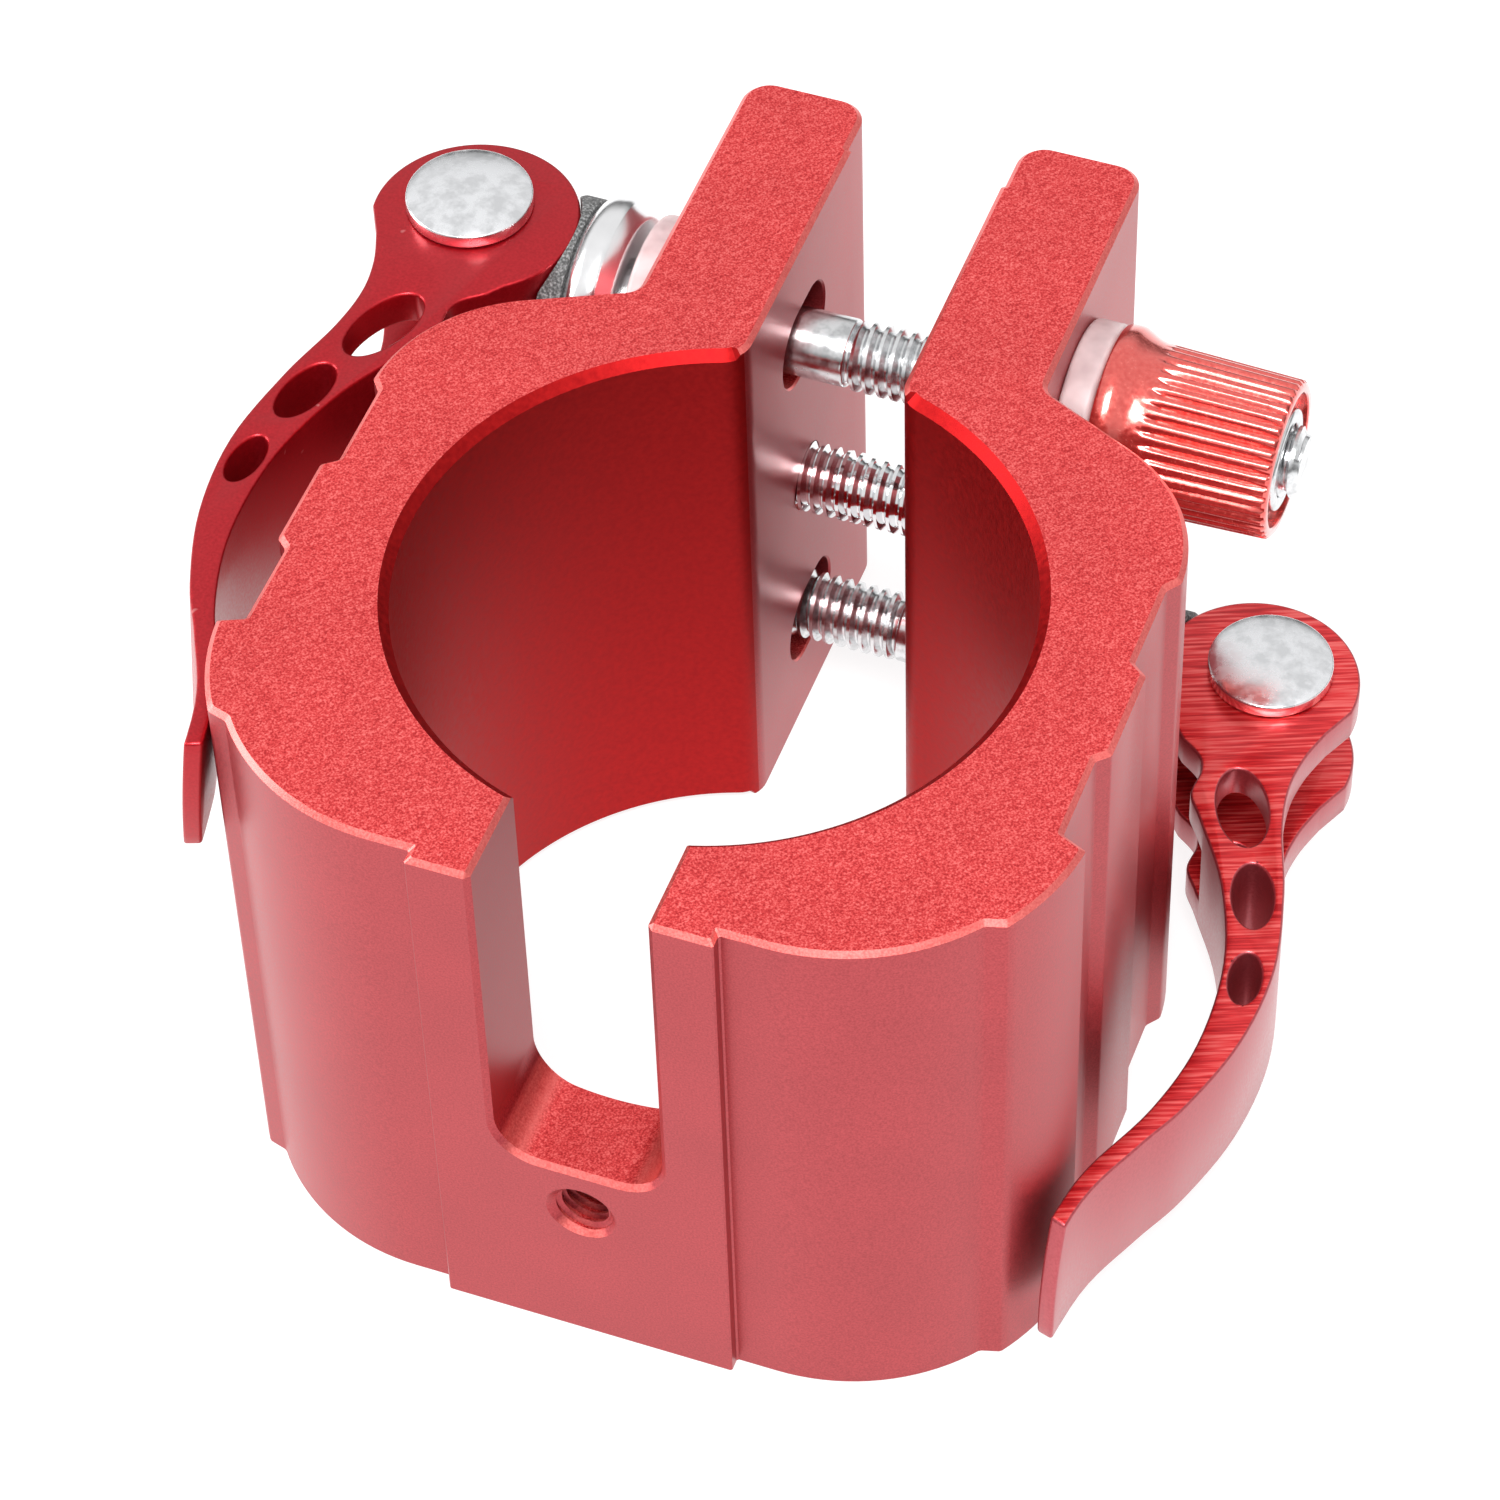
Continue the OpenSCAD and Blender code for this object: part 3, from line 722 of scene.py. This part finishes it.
ROD_R, SHANK_R, VISUAL_PITCH, THREAD_DEPTH = 3, 2.9, 1.13, 0.55
WASHER_HOLE_R, NUT_THREAD_R = 3.3, 3.05
THREAD_FROM = -1.9
KNURLS, KNURL_DEPTH = 38, 0.34


class SkewerSet:
    """Where one skewer's pieces lie, counted along its own axis from lever to nut."""

    def __init__(self, side):
        self.side = side
        low, high = corners_of(side + "_skewer")
        axis = Matrix.Translation((0, (low.y + high.y) / 2, (low.z + high.z) / 2))
        turn = Matrix.Rotation(math.pi, 4, "Y") if side == "lower" else Matrix()
        self.place = axis @ turn

    def span(self, name):
        """Start, end and outer radius of a piece along the skewer."""
        low, high = corners_of(f"{self.side}_{name}")
        start, end = (low.x, high.x) if self.side == "upper" else (-high.x, -low.x)
        return start, end, (high.z - low.z) / 2

    def piece(self, name, builder, smooth_angle=30):
        return new_piece(f"{self.side}_{name}_look", builder, self.place, smooth_angle)

    def finish(self, piece, material, slot, body, name):
        finish_piece(piece, material, slot, body, f"{self.side}_{name}")


def build_skewer(at):
    start, end, _ = at.span("skewer")
    shank = revolve(rounded([(start, 0, 0), (start, SHANK_R, 0.5), (THREAD_FROM, SHANK_R, 0.35),
                             (THREAD_FROM, 0, 0)], closed=False), 64, closed=False)
    thread = threaded_rod(THREAD_FROM, end, ROD_R, VISUAL_PITCH, THREAD_DEPTH, 48, (0.5, 0.6))
    piece = at.piece("skewer", join_builders([shank, thread]), 35)
    at.finish(piece, "thread", "skewer_steel", at.side + "_skewer_set", "skewer")


def washer_profile(start, end, inner, outer, cut_size):
    return rounded([(start, inner, cut_size / 2), (start, outer, cut_size),
                    (end, outer, cut_size), (end, inner, cut_size / 2)])


def build_nylon_washers(at):
    for name, body in (("lever_washer", "root"), ("nut_washer", at.side + "_nut_slider")):
        start, end, outer = at.span(name)
        piece = at.piece(name, revolve(washer_profile(start, end, WASHER_HOLE_R, outer, 0.55)), 40)
        at.finish(piece, "nylon", "nylon", body, name)


def build_cup_washer(at):
    start, end, outer = at.span("cup_washer")
    seat_r, seat_depth = 5.05, 1.55
    profile = rounded([
        (start, outer - 1.3, 0.3), (start + 0.9, outer - 0.5, 0.5), (start + 1.5, outer, 0.5),
        (end - 1.1, outer, 0.7), (end, outer - 1.1, 0.7), (end, seat_r, 0.15),
        (end - seat_depth, seat_r, 0), (end - seat_depth, WASHER_HOLE_R, 0.2),
        (start, WASHER_HOLE_R, 0.2)])
    # The cup's mouth faces the lever, so the outline runs from the ear outwards
    flipped = [Vector((start + end - p.x, p.y)) for p in profile]
    piece = at.piece("cup_washer", revolve(flipped, 128), 30)
    at.finish(piece, "cup", "cup_steel", "root", "cup_washer")


def build_cam_pad(at):
    name = at.side + "_cam_pad"
    piece = bevelled_copy(name, name + "_look", 0.18)
    at.finish(piece, "pad", "pad_plastic", "root", "cam_pad")


def build_pivot(at):
    for name in ("pivot_barrel", "pivot_cap"):
        node = f"{at.side}_{name}"
        piece = bevelled_copy(node, node + "_look", 0.16, segments=3, least_angle=40)
        at.finish(piece, "pivot", "pivot_steel", at.side + "_skewer_set", name)


def build_nut(at):
    start, end, flange_r = at.span("nut_sleeve")
    end_r = 6.6
    waist_r = end_r + 0.3
    recess_r, recess, insert_r = 5.6, 0.8, 4.3
    knurl_from, knurl_to = start + 4.1, end - 0.35
    outline = [
        (start + 2, WASHER_HOLE_R), (start, WASHER_HOLE_R),
        (start, flange_r - 0.4), (start + 0.1, flange_r - 0.12),
        (start + 0.35, flange_r), (start + 1.1, flange_r), (start + 1.5, flange_r - 0.1),
        (start + 2, flange_r - 0.35), (start + 2.5, flange_r - 0.62),
        (start + 3, flange_r - 0.8), (start + 3.5, waist_r), (knurl_from, waist_r)]
    smooth_count = len(outline)
    stations = 8
    for i in range(1, stations + 1):
        part = i / stations
        x = knurl_from + (knurl_to - knurl_from) * part
        outline.append((x, waist_r + (end_r - waist_r) * part))
        if i == 1:
            outline.insert(-1, (knurl_from + 0.35, waist_r))
    groove_end = len(outline)
    outline += [(end - 0.12, end_r - 0.2), (end, end_r - 0.42), (end, recess_r + 0.1),
                (end - 0.1, recess_r), (end - recess, recess_r), (end - recess, insert_r + 0.3),
                (end - recess - 0.9, insert_r + 0.3), (end - recess - 0.9, insert_r),
                (start + 2, insert_r)]

    def knurled(k, angle):
        r = outline[k][1]
        if not smooth_count <= k < groove_end:
            return r
        phase = (angle * KNURLS / (2 * math.pi)) % 1
        groove = max(0, 1 - abs(phase - 0.5) / 0.3)
        depth = KNURL_DEPTH * (0.6 if k == smooth_count else 1)
        return r - depth * groove

    piece = at.piece("nut_sleeve", revolve(outline, KNURLS * 8, knurled), 32)
    at.finish(piece, "nut", "red_nut", at.side + "_nut", "nut_sleeve")
    piece.data.materials.append(MATERIALS["insert"])
    across = at.place.inverted()
    for face in piece.data.polygons:
        spot = across @ (face.center / MM)
        r = math.hypot(spot.y, spot.z)
        face.material_index = int(abs(spot.x - (end - recess)) < 0.01 and r < recess_r)


def build_nut_insert(at):
    start, end, outer = at.span("nut_insert")
    profile = rounded([(start, NUT_THREAD_R, 0.2), (start, outer, 0.2), (end, outer, 0.4),
                       (end, NUT_THREAD_R, 0.3)])
    piece = at.piece("nut_insert", revolve(profile, 96), 40)
    at.finish(piece, "insert", "insert_steel", at.side + "_nut", "nut_insert")


def build_skewer_sets():
    for side in SIDES:
        at = SkewerSet(side)
        build_skewer(at)
        build_nylon_washers(at)
        build_cup_washer(at)
        build_cam_pad(at)
        build_pivot(at)
        build_nut(at)
        build_nut_insert(at)


# ---- Centre bolt ---------------------------------------------------------------------------------

def build_centre_bolt():
    low, high = corners_of("centre_bolt")
    washer_low, washer_high = corners_of("centre_bolt_washer")
    place = Matrix.Translation((0, (low.y + high.y) / 2, 0))
    seat = washer_high.x
    top = high.x
    head_r = (high.z - low.z) / 2
    key, deep = 2.5, 3
    profile = [(seat, ROD_R - 0.6), (seat, head_r - 0.1), (seat + 0.1, head_r),
               (top - 0.7, head_r), (top - 0.3, head_r - 0.12), (top - 0.08, head_r - 0.4),
               (top, head_r - 0.75), (top, key + 0.75), (top - 0.25, key), (top - deep, key),
               (top - deep, 0)]
    hexagon = {8: key, 9: key}

    def radius(k, angle):
        if k not in hexagon:
            return profile[k][1]
        side = (angle + math.pi / 6) % (math.pi / 3) - math.pi / 6
        return hexagon[k] / math.cos(side)

    head = revolve(profile, 96, radius, closed=False)
    rim = [edge for edge in head.edges if edge.is_boundary]
    bmesh.ops.contextual_create(head, geom=rim)
    thread = threaded_rod(low.x, seat + 0.5, ROD_R, VISUAL_PITCH, THREAD_DEPTH, 48, (0.6, 0))
    piece = new_piece("centre_bolt_look", join_builders([head, thread]), place, 35)
    finish_piece(piece, "chrome", "bolt_steel", "bolt", "centre_bolt")

    washer_r = (washer_high.z - washer_low.z) / 2
    profile = washer_profile(washer_low.x, washer_high.x, WASHER_HOLE_R, washer_r, 0.15)
    washer = new_piece("centre_bolt_washer_look", revolve(profile), place, 40)
    finish_piece(washer, "washer", "washer_steel", "bolt_washer", "centre_bolt_washer")


# ---- Stage ---------------------------------------------------------------------------------------

def area_light(name, place, size, power):
    """A soft light that faces the object's centre."""
    data = bpy.data.lights.new(name, "AREA")
    data.shape = "RECTANGLE"
    data.size, data.size_y = size
    data.energy = power
    light = bpy.data.objects.new(name, data)
    place = Vector(place)
    light.location = place
    light.rotation_euler = (-place).to_track_quat("-Z", "Y").to_euler()
    bpy.context.scene.collection.objects.link(light)


def build_stage():
    builder = bmesh.new()
    bmesh.ops.create_grid(builder, x_segments=1, y_segments=1, size=3 / MM)
    floor = new_piece("floor", builder, Matrix.Translation((0, 0, cad_box[0][2] / MM)))
    shader = Shader("floor_white", Base_Color=(0.25, 0.25, 0.25, 1), Roughness=0.8,
                    Emission_Color=(1, 1, 1, 1), Emission_Strength=0.85)
    floor.data.materials.append(shader.material)
    scene = bpy.context.scene
    scene.view_settings.view_transform = "Standard"
    world = bpy.data.worlds.new("studio")
    scene.world = world
    world.use_nodes = True
    background = world.node_tree.nodes["Background"]
    background.inputs["Strength"].default_value = 0.85
    tree = world.node_tree
    height = tree.nodes.new("ShaderNodeSeparateXYZ")
    tree.links.new(tree.nodes.new("ShaderNodeTexCoord").outputs["Generated"], height.inputs[0])
    sky = tree.nodes.new("ShaderNodeValToRGB")
    for element, (place, grey) in zip(sky.color_ramp.elements, ((0.12, 0.12), (0.45, 1.0))):
        element.position = place
        element.color = (grey, grey, grey, 1)
    tree.links.new(height.outputs["Z"], sky.inputs["Fac"])
    tree.links.new(sky.outputs["Color"], background.inputs["Color"])
    area_light("key", (0.10, -0.35, 0.75), (0.35, 0.35), 7)
    area_light("left", (-0.7, -0.15, 0.25), (0.4, 0.6), 4)


add_camera()
build_collar()
build_levers()
build_skewer_sets()
build_centre_bolt()
build_stage()
